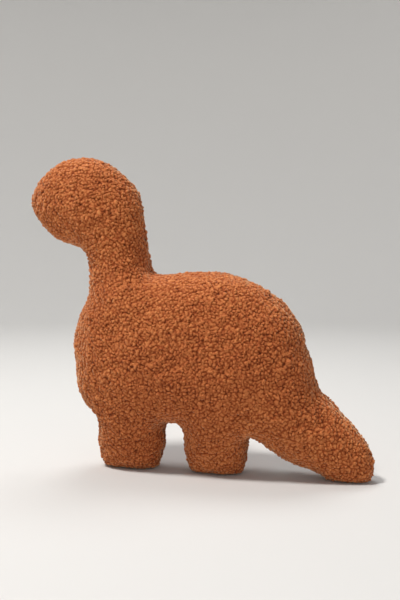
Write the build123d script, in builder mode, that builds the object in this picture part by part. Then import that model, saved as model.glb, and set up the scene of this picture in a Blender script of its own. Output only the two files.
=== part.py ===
"""A stuffed long-necked dinosaur cushion: two sewn teddy-fabric panels over packed fibre.

Millimetres. +Z is up, the head points to -X and the tail to +X, and the two panels meet in the
plane y = 0. The origin is on the floor under the middle of the toy, level with its soles.
"""

import os
from math import cos, radians, sin

from build123d import *

os.makedirs("parts", exist_ok=True)

# Driving dimensions
body_thickness = 130
head_thickness = 92
neck_thickness = 72
leg_thickness = 72
tail_thickness = 84
fabric = 4
packing_gap = 0.2
allowance = 10
allowance_layer = 3.5
thread = 1.2
seam_depth = 5
ladder_stitches = 8
ladder_half_width = 3
ladder_sink = 0.7
label_width = 30
label_drop = 24
label_layer = 0.8
label_gap = 0.3

# Each limb is round about its own axis, then flattened front to back. A profile lists
# (distance along the axis, half width) between the limb's two ends.
body_centre = (-15, 175)
body_tilt = 5
body_reach = 168
body_half_height = 106
body_profile = ((-160, 45), (-143, 74), (-118, 93), (-75, 104), (-10, 106), (55, 102), (98, 88), (133, 63), (157, 34))
# The chest and the rump round out the body's two ends
ball_profile = ((-0.93, 0.37), (-0.75, 0.66), (-0.4, 0.92), (0, 1), (0.4, 0.92), (0.75, 0.66), (0.93, 0.37))
chest_centre = (-117, 128)
chest_radius = 63
chest_thickness = 84
rump_centre = (112, 144)
rump_radius = 54
rump_thickness = 74

head_centre = (-164, 380)
head_reach = 86
head_half_height = 65
head_tilt = -2
head_profile = ((-80, 20), (-66, 37), (-44, 55), (-18, 64), (3, 65), (26, 60), (48, 48), (67, 32), (80, 15))

neck_root = (-96, 150)
neck_tilt = 97.3
neck_half_width = 45
neck_reach = 258
neck_profile = ((0, 66), (50, 72), (86, 60), (112, 48), (135, 45), (178, 45), (208, 44.5), (230, 39), (246, 26), (254, 13))

tail_root = (83, 114)
tail_tilt = -33
tail_half_width = 54
tail_reach = 195
tail_profile = ((-30, 50), (50, 54), (88, 52), (115, 46.5), (137, 41.5), (157, 35.5), (173, 28.5), (184, 21), (191, 12))

front_leg_x = -98
front_leg_half = 49
rear_leg_x = 27
rear_leg_half = 46
sole_rounding = 6
leg_top = 112
leg_profile = ((-sole_rounding, 0.62), (0, 0.80), (8, 0.93), (20, 0.99), (50, 1.0), (leg_top, 0.96))

# The closing stitches run along the underside of the tail, between two of its profile points
ladder_start = tail_profile[2]
ladder_end = tail_profile[4]

# The label is caught in the seam under the tail, at this place in the tail's own plane. Seen from
# the side it reaches label_drop inwards, which is a 45 mm length round the tail's curve.
label_seam = (65, -54)

# A slab in front of the seam plane, larger than the toy
slab_width = 600
slab_height = 960


def direction(tilt):
    """Unit vector in the seam plane, tilt degrees up from +X."""
    return Vector(cos(radians(tilt)), 0, sin(radians(tilt)))


def limb_plane(root, tilt):
    """The seam plane, with its origin at a limb's root and its x along the limb."""
    return Plane(origin=(root[0], 0, root[1]), x_dir=direction(tilt), z_dir=(0, -1, 0))


def half_limb(root, tilt, profile, flatness, tips=()):
    """The front half (y <= 0) of a limb; tips are the distances at which its rounded ends close."""
    points = list(profile)
    corners = []
    tangents = None
    unit_lengths = (1, 1) if tips else None
    if tips:
        points.append((tips[-1], 0))
        tangents = ((1, 0), (0, -1))
    else:
        corners.append((points[-1][0], 0))
    if len(tips) == 2:
        points.insert(0, (tips[0], 0))
        tangents = ((0, 1), (0, -1))
    else:
        corners.append((points[0][0], 0))
    plane = limb_plane(root, tilt)
    with BuildPart() as limb:
        with BuildSketch(plane):
            with BuildLine():
                Spline(*points, tangents=tangents, tangent_scalars=unit_lengths)
                Polyline(points[-1], *corners, points[0])
            make_face()
        revolve(axis=Axis(plane.origin, plane.x_dir), revolution_arc=180)
        scale(by=(1, flatness, 1))
    return limb.part


def half_blob(centre, tilt, reach, half_height, thickness, profile, inset):
    """A limb rounded at both ends, shrunk on every side by the inset."""
    length_scale = (reach - inset) / reach
    height_scale = (half_height - inset) / half_height
    shrunk = [(distance * length_scale, half * height_scale) for distance, half in profile]
    flatness = (thickness / 2 - inset) / (half_height - inset)
    return half_limb(centre, tilt, shrunk, flatness, (inset - reach, reach - inset))


def half_ball(centre, radius, thickness, inset):
    """A round cushion of a limb, shrunk on every side by the inset."""
    profile = [(distance * radius, half * radius) for distance, half in ball_profile]
    return half_blob(centre, 0, radius, radius, thickness, profile, inset)


def half_horn(root, tilt, reach, half_width, thickness, profile, inset):
    """A limb with a rounded tip, narrowed and shortened by the inset; its root stays inside the body."""
    length_scale = (reach - inset) / reach
    width_scale = (half_width - inset) / half_width
    shrunk = [(distance * length_scale, half * width_scale) for distance, half in profile]
    flatness = (thickness / 2 - inset) / (half_width - inset)
    return half_limb(root, tilt, shrunk, flatness, (reach - inset,))


def half_body(inset):
    return half_blob(
        body_centre, body_tilt, body_reach, body_half_height, body_thickness, body_profile, inset
    )


def half_trunk(inset):
    """The body with its chest and rump."""
    with BuildPart() as trunk:
        add(half_body(inset))
        add(half_ball(chest_centre, chest_radius, chest_thickness, inset))
        add(half_ball(rump_centre, rump_radius, rump_thickness, inset))
    return trunk.part


def half_head(inset):
    return half_blob(
        head_centre, head_tilt, head_reach, head_half_height, head_thickness, head_profile, inset
    )


def half_neck(inset):
    return half_horn(
        neck_root, neck_tilt, neck_reach, neck_half_width, neck_thickness, neck_profile, inset
    )


def half_tail(inset):
    return half_horn(
        tail_root, tail_tilt, tail_reach, tail_half_width, tail_thickness, tail_profile, inset
    )


def half_leg(centre_x, half_width, inset):
    """A leg from under the floor, where it is later cut, up into the body."""
    profile = [(height, half_width * share - inset) for height, share in leg_profile]
    flatness = (leg_thickness / 2 - inset) / (half_width - inset)
    return half_limb((centre_x, 0), 90, profile, flatness)


def above_floor(part, inset):
    """The part cut flat, the inset above the floor."""
    floor = Plane.XY.offset(inset)
    with BuildPart() as standing:
        add(part)
        split(bisect_by=floor, keep=Keep.TOP)
    return standing.part


def half_toy(inset):
    """The front half of the whole toy's outer form, drawn in by the inset."""
    with BuildPart() as toy:
        add(half_trunk(inset))
        add(half_neck(inset))
        add(half_head(inset))
        add(half_tail(inset))
        add(half_leg(front_leg_x, front_leg_half, inset))
        add(half_leg(rear_leg_x, rear_leg_half, inset))
    return above_floor(toy.part, inset)


def seam_rim(inset):
    """The toy's outline in the seam plane, drawn in by the inset."""
    seam_faces = half_toy(inset).faces().filter_by(Axis.Y).sort_by(Axis.Y)
    return seam_faces[-1].outer_wire()


def band(outer_rim, inner_rim, depth):
    """The strip between two outlines, extruded in front of the seam plane."""
    with BuildPart() as strip:
        extrude(Face(outer_rim), amount=depth, dir=(0, -1, 0))
        extrude(Face(inner_rim), amount=depth, dir=(0, -1, 0), mode=Mode.SUBTRACT)
    return strip.part


def whole(front_half):
    """A front half and its mirror image, joined at the seam plane."""
    with BuildPart() as both:
        add(front_half)
        mirror(about=Plane.XZ)
    return both.part


def finish(part, name):
    part.label = name
    export_step(part, f"parts/{name}.step")
    print(name, round(part.volume), part.is_valid, len(part.solids()))


# The two panels before their openings: mirror images, each with its turned-in seam allowance
front_form = half_toy(0)
front_space = half_toy(fabric)
fold_rim = front_space.faces().filter_by(Axis.Y).sort_by(Axis.Y)[-1].outer_wire()
allowance_rim = seam_rim(fabric + allowance)
allowance_band = band(fold_rim, allowance_rim, allowance_layer)
stitch_inset = fabric + seam_depth
stitch_band = band(seam_rim(stitch_inset - thread / 2), seam_rim(stitch_inset + thread / 2), thread / 2)
with BuildPart() as plain_panel:
    add(front_form)
    add(front_space, mode=Mode.SUBTRACT)
    add(allowance_band)
    add(stitch_band, mode=Mode.SUBTRACT)

# The machine stitching all round the outline
with BuildPart() as seam_thread:
    add(whole(stitch_band))
finish(seam_thread.part, "seam_thread")

# The hand ladder stitch: one thread that crosses the seam from panel to panel along the closed gap
ladder_plane = limb_plane(tail_root, tail_tilt)
ladder_from = ladder_plane.from_local_coords((ladder_start[0], ladder_sink - ladder_start[1], 0))
ladder_to = ladder_plane.from_local_coords((ladder_end[0], ladder_sink - ladder_end[1], 0))
ladder_run = ladder_to - ladder_from
ladder_pitch = ladder_run.length / ladder_stitches
path_plane = Plane(origin=ladder_from, x_dir=ladder_run, z_dir=ladder_run.cross(Vector(0, 1, 0)))
turns = []
for stitch in range(ladder_stitches):
    side = ladder_half_width if stitch % 2 else -ladder_half_width
    turns.append((stitch * ladder_pitch, side))
    turns.append(((stitch + 1) * ladder_pitch, side))
thread_end = path_plane.from_local_coords(Vector(*turns[0]))
with BuildPart() as closing_thread:
    with BuildLine(path_plane):
        FilletPolyline(*turns, radius=thread)
    with BuildSketch(Plane(origin=thread_end, z_dir=ladder_run)):
        Circle(thread / 2)
    sweep()
finish(closing_thread.part, "closing_thread")

# The blank care label: its tongue is caught between the panels and its flap lies on the back panel
label_point = limb_plane(tail_root, tail_tilt).from_local_coords(Vector(*label_seam))
label_plane = Plane(origin=label_point, x_dir=direction(tail_tilt - 90), z_dir=(0, -1, 0))
label_reach = label_gap + label_layer
tongue_inset = stitch_inset - thread
with BuildPart() as label_half:
    with BuildSketch(label_plane):
        with Locations((-label_drop / 2, 0)):
            Rectangle(label_drop + 2 * thread, label_width)
    extrude(amount=tail_thickness)
    add(half_tail(-label_reach), mode=Mode.INTERSECT)
    add(half_tail(-label_gap), mode=Mode.SUBTRACT)
with BuildPart() as tongue_half:
    with BuildSketch(label_plane):
        with Locations((-label_drop / 2, 0)):
            Rectangle(label_drop + 2 * thread, label_width)
    extrude(amount=label_layer)
    add(half_tail(-label_reach), mode=Mode.INTERSECT)
    add(half_tail(tongue_inset), mode=Mode.SUBTRACT)
with BuildPart() as care_label:
    mirror(label_half.part, about=Plane.XZ)
    mirror(tongue_half.part, about=Plane.XZ)
finish(care_label.part, "care_label")

with BuildPart() as front_panel:
    add(plain_panel.part)
    add(closing_thread.part, mode=Mode.SUBTRACT)
finish(front_panel.part, "front_panel")

with BuildPart() as back_panel:
    mirror(plain_panel.part, about=Plane.XZ)
    add(closing_thread.part, mode=Mode.SUBTRACT)
    add(care_label.part, mode=Mode.SUBTRACT)
finish(back_panel.part, "back_panel")

# The fibre wads fill the panels, clear of the seam allowances and of each other
wad_inset = fabric + packing_gap
space_depth = allowance_layer + packing_gap
space_rim = seam_rim(fabric + allowance + packing_gap)
with BuildPart() as allowance_space:
    with BuildSketch(Plane.XZ):
        with Locations((0, slab_height / 2)):
            Rectangle(slab_width, slab_height)
    extrude(amount=space_depth)
    extrude(Face(space_rim), amount=space_depth, dir=(0, -1, 0), mode=Mode.SUBTRACT)


def wad(half, neighbours):
    """A whole wad from its front half, cut back from the seam allowances and from its neighbours."""
    with BuildPart() as front:
        add(above_floor(half, wad_inset))
        add(allowance_space.part, mode=Mode.SUBTRACT)
        for neighbour in neighbours:
            add(neighbour, mode=Mode.SUBTRACT)
    return whole(front.part)


body_space = half_trunk(fabric)
head_space = half_head(fabric)
tail_space = half_tail(fabric)

with BuildPart() as body_filling:
    add(wad(half_trunk(wad_inset), []))
finish(body_filling.part, "body_filling")

with BuildPart() as head_filling:
    add(wad(half_head(wad_inset), []))
finish(head_filling.part, "head_filling")

with BuildPart() as neck_filling:
    add(wad(half_neck(wad_inset), [body_space, head_space]))
finish(neck_filling.part, "neck_filling")

with BuildPart() as tail_filling:
    add(wad(half_tail(wad_inset), [body_space]))
finish(tail_filling.part, "tail_filling")

with BuildPart() as front_leg_filling:
    add(wad(half_leg(front_leg_x, front_leg_half, wad_inset), [body_space]))
finish(front_leg_filling.part, "front_leg_filling")

with BuildPart() as rear_leg_filling:
    add(wad(half_leg(rear_leg_x, rear_leg_half, wad_inset), [body_space, tail_space]))
finish(rear_leg_filling.part, "rear_leg_filling")
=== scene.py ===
"""The looks of the stuffed dinosaur cushion: two teddy-fabric panels with curled pile, sewn round the
outline over fibre wads, with the closing stitches and a blank care label on the far side. Metres."""

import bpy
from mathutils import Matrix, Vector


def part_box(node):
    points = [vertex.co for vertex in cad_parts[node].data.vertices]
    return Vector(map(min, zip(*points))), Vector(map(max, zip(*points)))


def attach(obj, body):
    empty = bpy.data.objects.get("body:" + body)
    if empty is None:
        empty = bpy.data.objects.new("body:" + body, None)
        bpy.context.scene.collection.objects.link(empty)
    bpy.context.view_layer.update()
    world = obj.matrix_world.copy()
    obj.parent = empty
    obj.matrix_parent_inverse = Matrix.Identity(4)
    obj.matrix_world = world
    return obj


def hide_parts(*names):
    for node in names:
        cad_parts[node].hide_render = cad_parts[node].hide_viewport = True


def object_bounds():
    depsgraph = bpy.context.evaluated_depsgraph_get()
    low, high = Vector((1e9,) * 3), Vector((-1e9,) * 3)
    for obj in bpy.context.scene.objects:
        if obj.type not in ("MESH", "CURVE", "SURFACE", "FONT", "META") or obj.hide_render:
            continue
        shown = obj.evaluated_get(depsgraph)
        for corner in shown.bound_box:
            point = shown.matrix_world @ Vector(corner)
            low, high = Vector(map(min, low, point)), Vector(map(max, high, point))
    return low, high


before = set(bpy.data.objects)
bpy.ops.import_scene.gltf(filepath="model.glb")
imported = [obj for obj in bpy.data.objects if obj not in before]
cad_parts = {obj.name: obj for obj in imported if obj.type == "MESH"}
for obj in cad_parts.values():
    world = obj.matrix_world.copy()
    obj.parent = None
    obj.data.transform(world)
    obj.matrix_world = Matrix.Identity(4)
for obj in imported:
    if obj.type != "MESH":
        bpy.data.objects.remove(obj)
cad_box = [list(corner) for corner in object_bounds()]

import math

import bmesh
import bpy
import numpy as np
from mathutils import Vector, kdtree
from mathutils.bvhtree import BVHTree

low = np.array(cad_box[0])
high = np.array(cad_box[1])
rng = np.random.default_rng(11)
MM = 0.001

# The stuffed form
GRID = 2.0 * MM              # cell of the outline grid
SOLE_LEVEL = 3.0 * MM        # height over the floor at which the soles' outline is read
OUTLINE_SOFTNESS = 5.0 * MM  # how far sewing and turning round off the outline's corners
CORNER_EASE = 14.0 * MM      # the same at the chin and the tail's root, which stuffing pulls smooth
CORNER_REACH = 38.0 * MM     # how far round the chin and the tail's root the easing goes
OUTLINE_INSET = 2.8 * MM     # how far the form lies inside the sewn outline, to leave room for the curls
OUTSIDE_FALL = 30.0 * MM     # how steeply the form's field falls off outside the outline
PRESSED = 7.0 * MM           # how much of the soles and tail is pressed flat against the floor
SWELL = 1.15                 # how far limbs fill out, 1 for a membrane and more for hard stuffing
VOXEL = 4.6 * MM             # spacing of the stuffed form before it is divided for the curls
START_LIFT = 0.5 * MM        # keeps the starting mesh's two sheets apart all round their edge
STRIDE = 3.0 * MM            # longest single move of a point towards the form's surface

# The cloth that the stuffing pushes out
PRESSURE = 4.0
STRETCH_STIFFNESS = 8.0
BEND_STIFFNESS = 3.0
CLOTH_FRAMES = 20
SEAM_HOLD = 5.0 * MM         # how near to the seam the cloth is held
STUFFING_CAP = 6.0 * MM      # the furthest that stuffing moves the fabric

# The curled pile
CURL_PITCH = 4.3 * MM        # mean distance between curls
CURL_HEIGHT = 3.8 * MM       # how far a curl stands over the crevices round it
CURL_BEND = 0.7 * MM         # how far the curls' edges wander
CURL_BLEND = 0.2 * MM        # how softly joined curls run into each other
JOINED_OVER = 0.88           # neighbours whose sine is over this are joined, about one pair in six
RINGED_SHARE = 0.35          # share of the curls that have a hollow in the middle
SEAM_WIDTH = 2.6 * MM        # half width of the valley where the panels meet
SEAM_DEPTH = 1.0 * MM
UNEVENNESS = (               # height, size and seed of the swellings over the whole skin
    (0.9 * MM, 70 * MM, 5),
    (0.35 * MM, 22 * MM, 6),
    (0.22 * MM, 2.6 * MM, 7),
)

# The panels, the wads, the closing stitches and the label
ALLOWANCE = 8.0 * MM         # fabric turned in behind the seam
HALF_PARTING = 0.5 * MM      # from the seam plane to each turned-in allowance
PATTERN_SPREAD = 10.0 * MM   # how far the flat pattern's rim lies outside the panel's outline
WADS = [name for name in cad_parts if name.endswith("_filling")]
WAD_VOXEL = 4.5 * MM
WAD_CLEARANCE = 10.5 * MM    # from the form's surface in to the wads
LADDER_STITCHES = 8
LADDER_HALF_WIDTH = 2.6 * MM
THREAD = 1.2 * MM
LABEL_LENGTH = 45.0 * MM     # once folded
LABEL_WIDTH = 30.0 * MM
LABEL_LIFT = 2.2 * MM        # the label's height over the form, which clears most curls

# The camera
CAMERA_PLACE = (0.2849, -1.1269, 0.3191)
CAMERA_TURN = math.radians(14.0)
CAMERA_DIP = math.radians(3.8)
CAMERA_LENS = 50

# The studio
WALL_RADIUS = 3.4
WALL_CURVE = 1.2             # radius of the curve from the floor up into the wall
WALL_HEIGHT = 3.6
CURVE_STEPS = 12
STUDIO_SIDES = 64

# Colours
CURL_TOP = (0.60, 0.190, 0.058)
# the curls' sides and roots are painted shade, darkening to near-black where the curls meet
CURL_SIDE_PAINTED_SHADE = (0.33, 0.068, 0.014)
CURL_ROOT_PAINTED_SHADE = (0.032, 0.0025, 0.0004)
GREY_LOW = (0.15, 0.15, 0.15)
GREY_HIGH = (0.85, 0.85, 0.85)
FIBRE_DIM = (0.62, 0.62, 0.61)
FIBRE_BRIGHT = (0.86, 0.86, 0.84)
THREAD_DARK = (0.10, 0.024, 0.007)
THREAD_LIGHT = (0.25, 0.066, 0.02)
SATIN_SHADE = (0.78, 0.77, 0.74)
SATIN_LIGHT = (0.88, 0.87, 0.85)


# ---------------------------------------------------------------- outline and stuffed form

def panel_tree():
    """Ray-casting tree of the CAD's front panel."""
    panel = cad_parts["front_panel"]
    return BVHTree.FromObject(panel, bpy.context.evaluated_depsgraph_get())


def blur(grid, sigma):
    """Gaussian blur of a grid, sigma in cells."""
    reach = int(math.ceil(3 * sigma))
    weights = np.exp(-0.5 * (np.arange(-reach, reach + 1) / sigma) ** 2)
    weights /= weights.sum()
    for axis in (0, 1):
        padded = np.pad(grid, [(reach, reach) if a == axis else (0, 0) for a in (0, 1)], mode="edge")
        grid = sum(
            weight * np.take(padded, range(i, i + grid.shape[axis]), axis)
            for i, weight in enumerate(weights)
        )
    return grid


class Form:
    """The stuffed form: its half thickness squared is a field over the outline, that of an inflated
    membrane, held back where it is thickest so that the body comes out as thick as the CAD's."""

    def __init__(self, swell, half_thickness):
        margin = 14 * MM
        self.x0 = low[0] - margin
        self.z0 = low[2] - margin
        columns = int((high[0] + margin - self.x0) / GRID) + 1
        rows = int((high[2] + margin - self.z0) / GRID) + 1
        self.xs = self.x0 + GRID * np.arange(columns)
        self.zs = self.z0 + GRID * np.arange(rows)
        lift = swell ** 2 * self.membrane(self.outline())
        most = lift.max()
        held_back = most / half_thickness ** 2 - 1
        self.field = lift / (1 + held_back * np.maximum(lift, 0) / most)
        self.slope_x, self.slope_z = np.gradient(self.field, GRID)

    def outline(self):
        """1 inside the sewn outline and 0 outside, seen along Y, with corners softened, most of all at
        the chin and the tail's root, and shifted so that 0.5 lies the inset inside the outline."""
        tree = panel_tree()
        inside = np.zeros((len(self.xs), len(self.zs)))
        along = Vector((0, 1, 0))
        for i, x in enumerate(self.xs):
            for j, z in enumerate(self.zs):
                if z > SOLE_LEVEL and tree.ray_cast(Vector((x, low[1] - 0.1, z)), along)[0]:
                    inside[i, j] = 1
        first = int(np.argmax(self.zs > SOLE_LEVEL))
        for j in range(first):
            if self.zs[j] > -PRESSED:
                inside[:, j] = inside[:, first]
        soft = blur(inside, OUTLINE_SOFTNESS / GRID) - 0.4 * OUTLINE_INSET / OUTLINE_SOFTNESS
        eased = blur(inside, CORNER_EASE / GRID) - 0.4 * OUTLINE_INSET / CORNER_EASE
        chin = (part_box("neck_filling")[0][0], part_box("head_filling")[0][2])
        tail_root = (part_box("body_filling")[1][0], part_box("tail_filling")[1][2])
        for x, z in (chin, tail_root):
            apart = (self.xs[:, None] - x) ** 2 + (self.zs[None, :] - z) ** 2
            soft += (eased - soft) * np.exp(-apart / CORNER_REACH ** 2)
        return soft

    def membrane(self, soft):
        """Height squared of an inflated membrane, solved on ever finer grids."""
        u = None
        for step in (8, 4, 2, 1):
            inside = soft[::step, ::step] > 0.5
            start = np.zeros(inside.shape)
            if u is not None:
                finer = np.repeat(np.repeat(u, 2, axis=0), 2, axis=1)
                start = finer[: inside.shape[0], : inside.shape[1]]
            u = self.relax(start * inside, inside, step * GRID)
        beyond = OUTSIDE_FALL * GRID * np.where(soft > 0.5, 0, -0.5)
        return blur(u / 2, 0.8) + blur(beyond, 1.2)

    def relax(self, u, inside, cell, rounds=160, over=1.85):
        """Over-relaxes the membrane's equation on a red and black grid."""
        i, j = np.indices(inside.shape)
        middle = (slice(1, -1), slice(1, -1))
        colours = [(((i + j) % 2 == c) & inside)[middle] * over for c in (0, 1)]
        for _ in range(rounds):
            for colour in colours:
                around = u[2:, 1:-1] + u[:-2, 1:-1] + u[1:-1, 2:] + u[1:-1, :-2]
                u[middle] += colour * ((around + 2 * cell * cell) / 4 - u[middle])
        return u

    def sample(self, grid, points):
        """Bilinear values of a grid at points, whose y is ignored."""
        a = np.clip((points[:, 0] - self.x0) / GRID, 0, len(self.xs) - 1.001)
        b = np.clip((points[:, 2] - self.z0) / GRID, 0, len(self.zs) - 1.001)
        i = a.astype(int)
        j = b.astype(int)
        a = a - i
        b = b - j
        return (
            grid[i, j] * (1 - a) * (1 - b) + grid[i + 1, j] * a * (1 - b)
            + grid[i, j + 1] * (1 - a) * b + grid[i + 1, j + 1] * a * b
        )

    def project(self, points, steps=12):
        """Moves points onto the form's surface, each along the surface's own slope."""
        points = points.copy()
        for _ in range(steps):
            value = self.sample(self.field, points) - points[:, 1] ** 2
            slope_x = self.sample(self.slope_x, points)
            slope_z = self.sample(self.slope_z, points)
            slope = np.stack([slope_x, -2 * points[:, 1], slope_z], axis=1)
            length = np.maximum((slope ** 2).sum(axis=1), 1e-5)
            step = -value / length
            move = step[:, None] * slope
            size = np.linalg.norm(move, axis=1, keepdims=True)
            points += move * np.minimum(1, STRIDE / np.maximum(size, 1e-9))
        return points

    def keep_inside(self, points, clearance, steps=10):
        """Moves points that come too near to the form's skin back inside it, along its slope."""
        points = points.copy()
        for _ in range(steps):
            slope = np.stack(
                [self.sample(self.slope_x, points), -2 * points[:, 1], self.sample(self.slope_z, points)],
                axis=1,
            )
            steep = np.maximum(np.linalg.norm(slope, axis=1), 5 * MM)
            depth = (self.sample(self.field, points) - points[:, 1] ** 2) / steep
            short = np.clip(clearance - depth, 0, STRIDE)
            points += slope * (short / steep)[:, None]
        return points

    def blank(self):
        """A closed starting mesh: two sheets over the grid, joined round their rim."""
        height = np.sqrt(np.maximum(self.field, 0)) + START_LIFT
        inside = self.field > 0
        count = int(inside.sum())
        index = -np.ones(inside.shape, int)
        index[inside] = np.arange(count)
        i, j = np.nonzero(inside)
        front = np.stack([self.xs[i], -height[i, j], self.zs[j]], axis=1)
        back = front * (1, -1, 1)
        faces = []
        rim = {}
        cells = inside[:-1, :-1] & inside[1:, :-1] & inside[1:, 1:] & inside[:-1, 1:]
        for i, j in zip(*np.nonzero(cells)):
            ring = [index[i, j], index[i + 1, j], index[i + 1, j + 1], index[i, j + 1]]
            faces.append([int(v) for v in ring])
            faces.append([int(v) + count for v in reversed(ring)])
            for a, b in zip(ring, ring[1:] + ring[:1]):
                if (b, a) in rim:
                    del rim[(b, a)]
                else:
                    rim[(a, b)] = True
        for a, b in rim:
            faces.append([int(b), int(a), int(a) + count, int(b) + count])
        return np.concatenate([front, back]), faces


def new_object(name, points, faces):
    mesh = bpy.data.meshes.new(name)
    mesh.from_pydata([tuple(p) for p in points], [], faces)
    mesh.validate()
    piece = bpy.data.objects.new(name, mesh)
    bpy.context.scene.collection.objects.link(piece)
    return piece


def points_of(mesh):
    flat = np.empty(len(mesh.vertices) * 3)
    mesh.vertices.foreach_get("co", flat)
    return flat.reshape(-1, 3)


def normals_of(mesh):
    flat = np.empty(len(mesh.vertices) * 3)
    mesh.vertex_normals.foreach_get("vector", flat)
    return flat.reshape(-1, 3)


def set_points(mesh, points):
    mesh.vertices.foreach_set("co", np.ascontiguousarray(points, dtype=float).ravel())
    mesh.update()


def bake_modifiers(piece):
    """Replaces the piece's mesh with what its modifiers make of it."""
    graph = bpy.context.evaluated_depsgraph_get()
    mesh = bpy.data.meshes.new_from_object(piece.evaluated_get(graph))
    piece.modifiers.clear()
    old = piece.data
    piece.data = mesh
    bpy.data.meshes.remove(old)


def remesh(piece, voxel):
    modifier = piece.modifiers.new("remesh", "REMESH")
    modifier.mode = "VOXEL"
    modifier.voxel_size = voxel
    bake_modifiers(piece)


def keep_largest(piece):
    """Welds the mesh and drops all but its largest connected part."""
    work = bmesh.new()
    work.from_mesh(piece.data)
    bmesh.ops.remove_doubles(work, verts=work.verts, dist=0.01 * MM)
    left = set(work.verts)
    largest = set()
    while left:
        part = set()
        front = [left.pop()]
        while front:
            vert = front.pop()
            part.add(vert)
            for edge in vert.link_edges:
                other = edge.other_vert(vert)
                if other in left:
                    left.remove(other)
                    front.append(other)
        if len(part) > len(largest):
            largest = part
    bmesh.ops.delete(work, geom=[vert for vert in work.verts if vert not in largest], context="VERTS")
    work.to_mesh(piece.data)
    work.free()


def divide(piece, levels):
    modifier = piece.modifiers.new("divide", "SUBSURF")
    modifier.levels = levels
    modifier.render_levels = levels
    bake_modifiers(piece)


def stuff(piece):
    """Inflates the sewn form by cloth pressure, held along its seam and no further than the cap."""
    before = points_of(piece.data)
    seam = piece.vertex_groups.new(name="seam")
    held = np.clip(1.6 - np.abs(before[:, 1]) / SEAM_HOLD, 0, 1)
    for v in np.nonzero(held > 0)[0]:
        seam.add([int(v)], float(held[v]), "REPLACE")
    cloth = piece.modifiers.new("cloth", "CLOTH")
    cloth.settings.vertex_group_mass = "seam"
    cloth.settings.use_pressure = True
    cloth.settings.uniform_pressure_force = PRESSURE
    cloth.settings.tension_stiffness = STRETCH_STIFFNESS
    cloth.settings.compression_stiffness = STRETCH_STIFFNESS
    cloth.settings.bending_stiffness = BEND_STIFFNESS
    cloth.settings.effector_weights.gravity = 0
    cloth.collision_settings.use_collision = False
    scene = bpy.context.scene
    for number in range(1, CLOTH_FRAMES + 1):
        scene.frame_set(number)
    bake_modifiers(piece)
    scene.frame_set(1)
    move = points_of(piece.data) - before
    size = np.linalg.norm(move, axis=1, keepdims=True)
    set_points(piece.data, before + move * np.minimum(1, STUFFING_CAP / np.maximum(size, 1e-9)))
    piece.vertex_groups.clear()


def cut_at_seam(piece):
    """Gives the form a ring of edges exactly in the seam plane."""
    work = bmesh.new()
    work.from_mesh(piece.data)
    everything = work.verts[:] + work.edges[:] + work.faces[:]
    bmesh.ops.bisect_plane(
        work, geom=everything, dist=0.12 * MM, plane_co=(0, 0, 0), plane_no=(0, 1, 0)
    )
    work.to_mesh(piece.data)
    work.free()


def stuffed_form(form):
    """The whole smooth cushion, before its curls."""
    points, faces = form.blank()
    piece = new_object("stuffed_form", points, faces)
    remesh(piece, VOXEL)
    set_points(piece.data, form.project(points_of(piece.data)))
    stuff(piece)
    divide(piece, 2)
    cut_at_seam(piece)
    return piece


# ---------------------------------------------------------------- curled pile

def scatter(points, normals, areas, pitch):
    """Random places over a surface, about the pitch or a little less apart, with their normals."""
    chance = areas / areas.sum()
    tries = int(3.2 * areas.sum() / pitch ** 2)
    picked = rng.choice(len(points), size=tries, p=chance)
    candidates = points[picked] + rng.normal(scale=0.3 * pitch, size=(tries, 3))
    off_surface = ((candidates - points[picked]) * normals[picked]).sum(axis=1)
    candidates -= normals[picked] * off_surface[:, None]
    grid = {}
    kept = []
    spread = pitch * rng.uniform(0.62, 1.0, size=tries)
    keys = np.floor(candidates / pitch).astype(int)
    near = [(a, b, c) for a in (-1, 0, 1) for b in (-1, 0, 1) for c in (-1, 0, 1)]
    for n in range(tries):
        x, y, z = candidates[n]
        kx, ky, kz = keys[n]
        free = True
        for a, b, c in near:
            for px, py, pz in grid.get((kx + a, ky + b, kz + c), ()):
                if (px - x) ** 2 + (py - y) ** 2 + (pz - z) ** 2 < spread[n] ** 2:
                    free = False
                    break
            if not free:
                break
        if free:
            grid.setdefault((kx, ky, kz), []).append((x, y, z))
            kept.append(n)
    return candidates[kept], normals[picked][kept]


def vertex_areas(mesh):
    """A share of surface area for each vertex."""
    areas = np.zeros(len(mesh.vertices))
    sizes = np.empty(len(mesh.polygons))
    mesh.polygons.foreach_get("area", sizes)
    totals = np.empty(len(mesh.polygons), int)
    mesh.polygons.foreach_get("loop_total", totals)
    corners = np.empty(len(mesh.loops), int)
    mesh.loops.foreach_get("vertex_index", corners)
    np.add.at(areas, corners, np.repeat(sizes / totals, totals))
    return areas


def nearest(tree, points, count):
    """Indices and distances of the nearest few of a tree's places to each point."""
    which = np.zeros((len(points), count), int)
    apart = np.ones((len(points), count))
    for n, point in enumerate(points):
        for k, (_, index, distance) in enumerate(tree.find_n(point, count)):
            which[n, k] = index
            apart[n, k] = distance
    return which, apart


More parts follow.
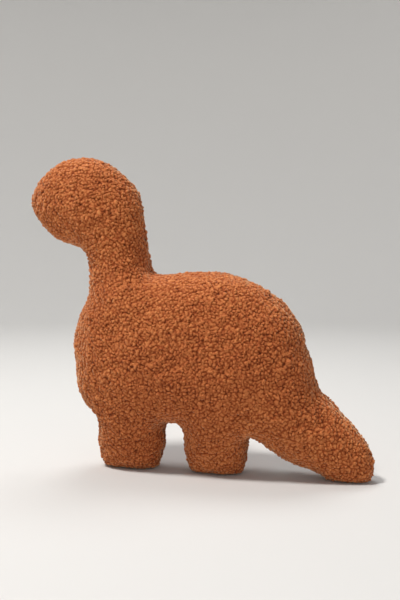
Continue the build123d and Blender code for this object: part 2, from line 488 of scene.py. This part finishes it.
def curl_field(points, normals, areas):
    """For each point, how high its curl stands from 0 to 1, how much painted shade it gets where the curls
    meet and in their hollows, and its tint.

    Each curl is a dome over the places nearest to its centre, in a measure stretched along its own lean.
    Some neighbours are joined, with no dip and no painted shade between them, and some curls have a hollow
    in the middle, which also gets painted shade."""
    centres, ups = scatter(points, normals, areas, CURL_PITCH)
    count = len(centres)
    tree = kdtree.KDTree(count)
    for n, centre in enumerate(centres):
        tree.insert(centre, n)
    tree.balance()
    lean = rng.normal(size=(count, 3))
    lean -= ups * (lean * ups).sum(axis=1)[:, None]
    lean /= np.linalg.norm(lean, axis=1, keepdims=True)
    stretch = rng.uniform(0.0, 0.6, size=count)
    tall = rng.uniform(0.35, 1.0, size=count)
    tint = rng.normal(size=count)
    bent = points + CURL_BEND * np.stack([lumps(points, 5 * MM, seed) for seed in (21, 22, 23)], axis=1)
    which, apart = nearest(tree, bent, 7)
    offset = bent[:, None, :] - centres[which]
    along = (offset * lean[which]).sum(axis=2)
    distance = np.sqrt(np.maximum(apart ** 2 - stretch[which] * along ** 2, 0))
    order = np.argsort(distance, axis=1)
    distance = np.take_along_axis(distance, order, axis=1)
    owner = np.take_along_axis(which, order, axis=1)
    own = owner[:, :1]
    others = owner[:, 1:]
    joined = np.sin(12.9 * (own + others) + 78.2 * np.abs(own - others)) > JOINED_OVER
    edge = (distance[:, 1:] - distance[:, :1]) / (distance[:, 1:] + distance[:, :1] + 1e-9)
    edge = np.clip(np.where(joined, 1, edge * 1.5).min(axis=1), 0, 1)
    dome = np.sqrt(np.maximum(1 - (1 - edge) ** 2, 0))
    openness = np.clip(0.6 + 0.4 * lumps(points, 9 * MM, 31), 0, 1)
    # painted shade: darkest where the curls meet, and deeper where the pile lies more open
    crevice_shade = (1 - dome) ** 0.9 * (0.6 + 0.4 * openness)
    ringed = np.where(rng.uniform(size=count) < RINGED_SHARE, rng.uniform(0.3, 0.7, size=count), 0)
    hollow = ringed[owner[:, 0]] * np.exp(-((distance[:, 0] / (0.2 * CURL_PITCH)) ** 2))
    share = 1 / (distance ** 4 + CURL_BLEND ** 4)
    share /= share.sum(axis=1, keepdims=True)
    height = dome * (share * tall[owner]).sum(axis=1) * (1 - hollow)
    # the curls' hollows get painted shade as well
    return height, np.clip(crevice_shade + 0.55 * hollow, 0, 1), (share * tint[owner]).sum(axis=1)


def lumps(points, size, seed):
    """Smooth random swelling, mostly from -1 to 1, the sum of a few waves in random directions."""
    waves = np.random.default_rng(seed)
    total = np.zeros(len(points))
    for _ in range(14):
        way = waves.normal(size=3)
        way *= waves.uniform(0.7, 1.5) * 2 * math.pi / (size * np.linalg.norm(way))
        total += np.sin(points @ way + waves.uniform(0, 2 * math.pi))
    return total / 3.7


def pressed(points):
    """Flattens whatever would reach the floor, gently over the last few millimetres."""
    soft = 3.0 * MM
    z = points[:, 2] / soft
    flat = points.copy()
    flat[:, 2] = soft * np.where(z > 12, z, np.log1p(np.exp(np.clip(z, -30, 12))))
    return flat


def add_attribute(mesh, name, values):
    layer = mesh.attributes.new(name, "FLOAT", "POINT")
    layer.data.foreach_set("value", np.ascontiguousarray(values, dtype=float))


def curled(piece):
    """Raises the curls on the smooth form, sinks the seam between the panels and stores the painted shade
    where curls meet and along the seam.
    """
    mesh = piece.data
    points = points_of(mesh)
    normals = normals_of(mesh)
    dome, crevice_shade, tint = curl_field(points, normals, vertex_areas(mesh))
    valley = np.exp(-((points[:, 1] / SEAM_WIDTH) ** 2)) * (1 - np.abs(normals[:, 1]))
    rise = CURL_HEIGHT * (dome - 0.5) * (1 - 0.5 * valley) - SEAM_DEPTH * valley
    for height, size, seed in UNEVENNESS:
        rise += height * lumps(points, size, seed)
    set_points(mesh, pressed(points + normals * rise[:, None]))
    # painted shade where the curls meet, in their hollows and, a little, in the seam's valley, kept for the
    # pile's colour
    add_attribute(mesh, "crevice_shade", np.clip(crevice_shade + 0.25 * valley, 0, 1))
    add_attribute(mesh, "tint", tint)


def flat_pattern(mesh, normals):
    """A UV layer like the panel's own flat pattern: seen from the front, its rim spread outwards."""
    points = points_of(mesh)
    spread = PATTERN_SPREAD * (1 - np.abs(normals[:, 1]))
    flat = np.stack([points[:, 0], points[:, 2]], axis=1)
    flat += spread[:, None] * normals[:, (0, 2)]
    flat -= flat.min(axis=0)
    flat /= flat.max() * 1.01
    layer = mesh.uv_layers.new(name="OFBake")
    corners = np.empty(len(mesh.loops), int)
    mesh.loops.foreach_get("vertex_index", corners)
    layer.data.foreach_set("uv", flat[corners].ravel())


def panel_from(piece, side, name, smooth_normals):
    """One panel: the form's faces on one side of the seam, with an allowance turned in behind it."""
    work = bmesh.new()
    work.from_mesh(piece.data)
    was = work.verts.layers.int.new("was")
    for n, vert in enumerate(work.verts):
        vert[was] = n
    gone = [face for face in work.faces if face.calc_center_median().y * side < 0]
    bmesh.ops.delete(work, geom=gone, context="FACES")
    rim = [edge for edge in work.edges if edge.is_boundary]
    for share in (0.3, 0.7):
        made = bmesh.ops.extrude_edge_only(work, edges=rim)["geom"]
        rim = [item for item in made if isinstance(item, bmesh.types.BMEdge)]
        for vert in {vert for edge in rim for vert in edge.verts}:
            normal = smooth_normals[vert[was]]
            vert.co += Vector((-normal[0], 0, -normal[2])) * ALLOWANCE * share
            vert.co.y = side * HALF_PARTING
    mesh = bpy.data.meshes.new(name)
    work.to_mesh(mesh)
    origin = np.array([vert[was] for vert in work.verts])
    work.free()
    panel = bpy.data.objects.new(name, mesh)
    bpy.context.scene.collection.objects.link(panel)
    mesh.attributes.remove(mesh.attributes["was"])
    mesh.shade_smooth()
    flat_pattern(mesh, smooth_normals[origin])
    return panel


# ---------------------------------------------------------------- filling, stitches and label

def fibre_wad(node, form):
    """A wad of fibre in a filling's place: its outside uneven, and always clear of the fabric."""
    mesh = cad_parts[node].data.copy()
    piece = bpy.data.objects.new(f"{node}_fibre", mesh)
    bpy.context.scene.collection.objects.link(piece)
    remesh(piece, WAD_VOXEL)
    points = points_of(piece.data)
    normals = normals_of(piece.data)
    seed = len(node)
    dents = 1.2 + 0.9 * lumps(points, 34 * MM, seed) + 0.6 * lumps(points, 13 * MM, seed + 40)
    points = points - normals * (np.clip(dents, 0.3, 4) * MM)[:, None]
    set_points(piece.data, form.keep_inside(points, WAD_CLEARANCE))
    keep_largest(piece)
    piece.data.shade_smooth()
    return piece


def tube(name, path, radius):
    """A smooth tube along a path, as a mesh with closed ends."""
    curve = bpy.data.curves.new(name, "CURVE")
    curve.dimensions = "3D"
    curve.bevel_depth = radius
    curve.bevel_resolution = 2
    curve.use_fill_caps = True
    curve.resolution_u = 5
    spline = curve.splines.new("NURBS")
    spline.points.add(len(path) - 1)
    for point, place in zip(spline.points, path):
        point.co = (*place, 1)
    spline.order_u = 3
    spline.use_endpoint_u = True
    guide = bpy.data.objects.new(name, curve)
    bpy.context.scene.collection.objects.link(guide)
    mesh = bpy.data.meshes.new_from_object(guide.evaluated_get(bpy.context.evaluated_depsgraph_get()))
    bpy.data.objects.remove(guide)
    piece = bpy.data.objects.new(name, mesh)
    bpy.context.scene.collection.objects.link(piece)
    keep_largest(piece)
    mesh.shade_smooth()
    return piece


def closing_stitches(form):
    """The hand ladder stitch along the closed gap under the tail: a run on one panel, then on the other."""
    near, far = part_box("closing_thread")
    start = np.array([near[0], 0, far[2]])
    end = np.array([far[0], 0, near[2]])
    path = []
    for stitch in range(LADDER_STITCHES):
        side = LADDER_HALF_WIDTH * (1 if stitch % 2 else -1)
        for share in (0.06, 0.5, 0.94):
            place = start + (end - start) * (stitch + share) / LADDER_STITCHES
            path.append(place + np.array([0, side, 0]))
    path = form.project(np.array(path))
    path += 0.4 * MM * np.sin(np.arange(len(path)) * 2.4)[:, None] * (1, 0, 0)
    return tube("closing_stitches", path, THREAD / 2)


def label_spine(form, steps):
    """Places along the label from the seam out, with the fabric's outward direction and the label's way."""
    near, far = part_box("care_label")
    middle = (np.array(near) + np.array(far)) / 2
    middle[1] = 0
    here = form.project(middle[None] - (0, 0, 20 * MM))[0]
    here[1] = 0
    way = np.array([0.0, 1.0, 0.0])
    spine = []
    for _ in range(steps):
        out = np.array([
            -form.sample(form.slope_x, here[None])[0],
            2 * here[1],
            -form.sample(form.slope_z, here[None])[0],
        ])
        out /= np.linalg.norm(out)
        way = way - out * (way @ out)
        way /= np.linalg.norm(way)
        spine.append((here, out, way))
        here = form.project((here + way * LABEL_LENGTH / (steps - 1))[None])[0]
    return spine


def care_label(form):
    """A blank folded satin label: caught in the seam under the tail, its fold free and its layers apart."""
    steps = 25
    columns = 13
    spine = label_spine(form, steps)
    points = []
    for layer, order in ((0, range(steps)), (1, range(steps - 1, -1, -1))):
        for n in order:
            here, out, way = spine[n]
            share = n / (steps - 1)
            parting = (0.15 + layer * 1.1) * math.sin(math.pi * min(share * 1.06, 1.0))
            lift = LABEL_LIFT * min(1, 6 * share) + (3.5 * share ** 2.2 + parting) * MM
            across = np.cross(way, out)
            for k in range(columns):
                t = k / (columns - 1) - 0.5
                wave = 0.9 * share * math.sin(5 * t + 0.8) + 0.4 * math.sin(9 * share + layer) * share
                points.append(here + across * t * LABEL_WIDTH + out * (lift + wave * MM))
    faces = []
    for r in range(2 * steps - 1):
        for k in range(columns - 1):
            a = r * columns + k
            faces.append((a, a + 1, a + 1 + columns, a + columns))
    return new_object("care_label_satin", points, faces)


# ---------------------------------------------------------------- materials

class Shader:
    """A material's node tree, with a few short calls to fill it."""

    def __init__(self, name):
        self.material = bpy.data.materials.new(name)
        self.material.use_nodes = True
        self.tree = self.material.node_tree
        self.tree.nodes.clear()
        self.surface = self.add("ShaderNodeBsdfPrincipled")
        output = self.add("ShaderNodeOutputMaterial")
        self.join(self.surface.outputs["BSDF"], output.inputs["Surface"])

    def add(self, kind, **settings):
        node = self.tree.nodes.new(kind)
        for key, value in settings.items():
            setattr(node, key, value)
        return node

    def join(self, source, target):
        self.tree.links.new(source, target)

    def coordinates(self):
        return self.add("ShaderNodeTexCoord").outputs["Object"]

    def noise(self, scale, detail=3.0, roughness=0.5, distortion=0.0):
        node = self.add("ShaderNodeTexNoise")
        node.inputs["Scale"].default_value = scale
        node.inputs["Detail"].default_value = detail
        node.inputs["Roughness"].default_value = roughness
        node.inputs["Distortion"].default_value = distortion
        self.join(self.coordinates(), node.inputs["Vector"])
        return node.outputs["Fac"]

    def attribute(self, name):
        return self.add("ShaderNodeAttribute", attribute_name=name).outputs["Fac"]

    def ramp(self, value, stops):
        node = self.add("ShaderNodeValToRGB")
        elements = node.color_ramp.elements
        for element, (position, colour) in zip(elements, (stops[0], stops[-1])):
            element.position = position
            element.color = (*colour, 1)
        for position, colour in stops[1:-1]:
            elements.new(position).color = (*colour, 1)
        self.join(value, node.inputs["Fac"])
        return node.outputs["Color"]

    def mix(self, blend, amount, first, second):
        node = self.add("ShaderNodeMix", data_type="RGBA", blend_type=blend)
        if isinstance(amount, float):
            node.inputs["Factor"].default_value = amount
        else:
            self.join(amount, node.inputs["Factor"])
        for socket, value in ((node.inputs[6], first), (node.inputs[7], second)):
            if isinstance(value, tuple):
                socket.default_value = (*value, 1)
            else:
                self.join(value, socket)
        return node.outputs[2]

    def maths(self, operation, *values):
        node = self.add("ShaderNodeMath", operation=operation)
        for socket, value in zip(node.inputs, values):
            if isinstance(value, (int, float)):
                socket.default_value = value
            else:
                self.join(value, socket)
        return node.outputs[0]

    def bump(self, height, distance, strength=1.0):
        node = self.add("ShaderNodeBump")
        node.inputs["Distance"].default_value = distance
        node.inputs["Strength"].default_value = strength
        self.join(height, node.inputs["Height"])
        self.join(node.outputs["Normal"], self.surface.inputs["Normal"])

    def set(self, **values):
        for name, value in values.items():
            self.surface.inputs[name.replace("_", " ")].default_value = value


def teddy_material():
    """Rust-orange curled pile: paler curl tops with painted shade down their sides, darkest where the curls
    meet, each curl a little different.
    """
    shader = Shader("teddy_fabric")
    # painted shade: the colour darkens from the curl tops down the sides to near-black where the curls meet
    colour = shader.ramp(
        shader.attribute("crevice_shade"),
        [(0.0, CURL_TOP), (0.42, CURL_SIDE_PAINTED_SHADE), (0.95, CURL_ROOT_PAINTED_SHADE)],
    )
    tint = shader.maths("MULTIPLY_ADD", shader.attribute("tint"), 0.09, 0.5)
    colour = shader.mix("SOFT_LIGHT", 0.8, colour, shader.ramp(tint, [(0, GREY_LOW), (1, GREY_HIGH)]))
    # a fine random fibre tone, whose pale flecks also stand in for painted glints off the fibre tips
    fibres = shader.noise(800, detail=3, roughness=0.6, distortion=0.6)
    fibre_tone_and_glints = shader.ramp(fibres, [(0.32, GREY_LOW), (0.68, GREY_HIGH)])
    colour = shader.mix("SOFT_LIGHT", 0.85, colour, fibre_tone_and_glints)
    broad_shade = shader.ramp(shader.noise(9, detail=2), [(0.35, GREY_LOW), (0.65, GREY_HIGH)])
    colour = shader.mix("SOFT_LIGHT", 0.15, colour, broad_shade)
    shader.join(colour, shader.surface.inputs["Base Color"])
    shader.set(Roughness=0.9, Specular_IOR_Level=0.25, Sheen_Weight=1.0, Sheen_Roughness=0.35)
    shader.set(Sheen_Tint=(1.0, 0.78, 0.50, 1))
    shader.bump(shader.noise(1100, detail=4, roughness=0.65, distortion=1.2), 0.5 * MM, 0.7)
    return shader.material


def fibre_material():
    """White polyester fibre: soft strands that catch the light."""
    shader = Shader("fibre_filling")
    strands = shader.noise(420, detail=5, roughness=0.7, distortion=2.5)
    colour = shader.ramp(strands, [(0.3, FIBRE_DIM), (0.7, FIBRE_BRIGHT)])
    shader.join(colour, shader.surface.inputs["Base Color"])
    shader.set(Roughness=0.9, Sheen_Weight=0.3, Sheen_Roughness=0.5)
    shader.bump(strands, 1.2 * MM, 0.9)
    return shader.material


def thread_material():
    """Spun polyester thread, a shade darker than the pile, with the twist of its plies."""
    shader = Shader("sewing_thread")
    plies = shader.noise(2600, detail=2, distortion=0.8)
    colour = shader.ramp(plies, [(0.3, THREAD_DARK), (0.7, THREAD_LIGHT)])
    shader.join(colour, shader.surface.inputs["Base Color"])
    shader.set(Roughness=0.55, Sheen_Weight=0.15)
    shader.bump(plies, 0.15 * MM, 0.8)
    return shader.material


def satin_material():
    """White satin ribbon: fine ribs and the odd shade from handling."""
    shader = Shader("satin_label")
    ribs = shader.add("ShaderNodeTexWave", wave_type="BANDS", bands_direction="Z")
    ribs.inputs["Scale"].default_value = 700
    ribs.inputs["Distortion"].default_value = 0.4
    shader.join(shader.coordinates(), ribs.inputs["Vector"])
    shade = shader.ramp(shader.noise(60, detail=4), [(0.3, SATIN_SHADE), (0.7, SATIN_LIGHT)])
    ribbed = shader.ramp(ribs.outputs["Fac"], [(0.0, (0.42, 0.42, 0.42)), (1.0, (0.55, 0.55, 0.55))])
    shader.join(shader.mix("SOFT_LIGHT", 0.6, shade, ribbed), shader.surface.inputs["Base Color"])
    shader.set(Roughness=0.38, Specular_IOR_Level=0.5, Sheen_Weight=0.1)
    shader.bump(ribs.outputs["Fac"], 0.08 * MM, 0.6)
    return shader.material


# ---------------------------------------------------------------- lights, camera and floor

def soft_light(name, place, size, power, colour=(1, 1, 1)):
    """A round soft light, aimed at the middle of the toy."""
    lamp = bpy.data.lights.new(name, "AREA")
    lamp.shape = "DISK"
    lamp.size = size
    lamp.energy = power
    lamp.color = colour
    light = bpy.data.objects.new(name, lamp)
    light.location = place
    aim = Vector((0, 0, 0.2)) - Vector(place)
    light.rotation_euler = aim.to_track_quat("-Z", "Y").to_euler()
    bpy.context.scene.collection.objects.link(light)


def studio():
    """A pale round floor that curves up into a pale wall all round, and soft lights."""
    flat_radius = WALL_RADIUS - WALL_CURVE
    profile = [(0.5, 0.0), (1.2, 0.0), (flat_radius, 0.0)]
    for step in range(1, CURVE_STEPS + 1):
        angle = math.radians(90 * step / CURVE_STEPS)
        radius = flat_radius + WALL_CURVE * math.sin(angle)
        profile.append((radius, WALL_CURVE - WALL_CURVE * math.cos(angle)))
    profile.append((WALL_RADIUS, WALL_HEIGHT))
    points = [(0, 0, 0)]
    for radius, height in profile:
        for n in range(STUDIO_SIDES):
            angle = 2 * math.pi * n / STUDIO_SIDES
            points.append((radius * math.cos(angle), radius * math.sin(angle), height))
    faces = [(0, 1 + n, 1 + (n + 1) % STUDIO_SIDES) for n in range(STUDIO_SIDES)]
    for ring in range(len(profile) - 1):
        for n in range(STUDIO_SIDES):
            a = 1 + ring * STUDIO_SIDES + n
            b = 1 + ring * STUDIO_SIDES + (n + 1) % STUDIO_SIDES
            faces.append((a, a + STUDIO_SIDES, b + STUDIO_SIDES, b))
    floor = new_object("studio_floor", points, faces)
    floor.data.shade_smooth()
    shader = Shader("studio_paper")
    shader.set(Base_Color=(0.66, 0.655, 0.64, 1), Roughness=0.9)
    floor.data.materials.append(shader.material)
    soft_light("key", (-1.0, -0.75, 2.9), 0.5, 79, (1.0, 0.97, 0.94))
    soft_light("fill", (1.8, -1.6, 0.9), 1.8, 2.5, (0.95, 0.97, 1.0))
    soft_light("top", (-0.4, 0.9, 2.7), 1.2, 28)
    world = bpy.data.worlds.new("studio")
    bpy.context.scene.world = world
    world.use_nodes = True
    world.node_tree.nodes["Background"].inputs["Color"].default_value = (0.92, 0.94, 1.0, 1)
    world.node_tree.nodes["Background"].inputs["Strength"].default_value = 0.25


def camera():
    """A little above the toy's back, towards its tail, and somewhat over two of its lengths away."""
    lens = bpy.data.cameras.new("camera")
    lens.lens = CAMERA_LENS
    eye = bpy.data.objects.new("camera", lens)
    eye.location = CAMERA_PLACE
    eye.rotation_euler = (math.pi / 2 - CAMERA_DIP, 0, CAMERA_TURN)
    bpy.context.scene.collection.objects.link(eye)
    bpy.context.scene.camera = eye
    bpy.context.scene.view_settings.view_transform = "Standard"


# ---------------------------------------------------------------- the toy put together

camera()
studio()
half_thickness = (high[1] - low[1]) / 2 - CURL_HEIGHT / 2
form = Form(SWELL, half_thickness)
cushion = stuffed_form(form)
smooth_normals = normals_of(cushion.data)
curled(cushion)
teddy = teddy_material()
for node, side in (("front_panel", -1), ("back_panel", 1)):
    panel = panel_from(cushion, side, f"{node}_pile", smooth_normals)
    panel.data.materials.append(teddy)
    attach(panel, "root")
    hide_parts(node)
bpy.data.objects.remove(cushion)

fibre = fibre_material()
for name in WADS:
    wad = fibre_wad(name, form)
    wad.data.materials.clear()
    wad.data.materials.append(fibre)
    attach(wad, "root")
    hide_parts(name)

thread = thread_material()
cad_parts["seam_thread"].data.materials.clear()
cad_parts["seam_thread"].data.materials.append(thread)
stitches = closing_stitches(form)
stitches.data.materials.append(thread)
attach(stitches, "root")
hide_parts("closing_thread")

label = care_label(form)
label.data.materials.append(satin_material())
label.data.shade_smooth()
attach(label, "root")
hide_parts("care_label")
